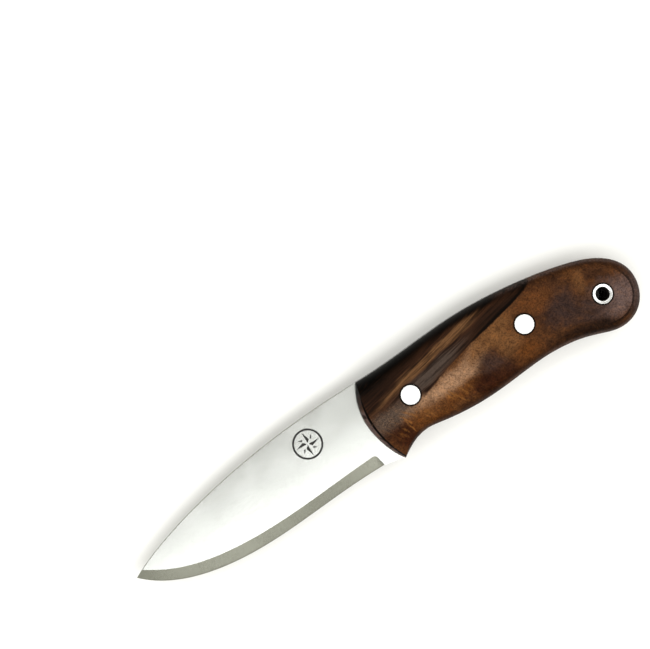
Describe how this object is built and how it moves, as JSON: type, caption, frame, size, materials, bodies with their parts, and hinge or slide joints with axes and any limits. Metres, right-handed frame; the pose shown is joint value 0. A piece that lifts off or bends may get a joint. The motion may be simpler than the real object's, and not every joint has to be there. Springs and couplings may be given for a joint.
{
  "type": "bushcraft knife",
  "caption": "Full-tang fixed-blade knife: spear-point blade with a wide flat bevel, shaped walnut scales, flush rivets and a tubed lanyard hole.",
  "frame": {"origin": "on the surface the knife lies on, under the middle of its outline", "axes": "+X from the tip to the butt, +Y from the cutting edge to the spine, +Z through the thickness, from the right scale to the left scale"},
  "size_m": [0.226, 0.0416, 0.022],
  "materials": {
    "blade_steel": "satin flats with a fine-ground bevel",
    "walnut": "oiled and buffed, figured dark walnut",
    "polished_steel": "polished flush with the wood"
  },
  "bodies": {
    "root": {"blade": "blade_steel", "left_scale": "walnut", "right_scale": "walnut", "front_rivet_bolt": "polished_steel", "front_rivet_nut": "polished_steel", "rear_rivet_bolt": "polished_steel", "rear_rivet_nut": "polished_steel", "lanyard_tube": "polished_steel"}
  },
  "joints": []
}
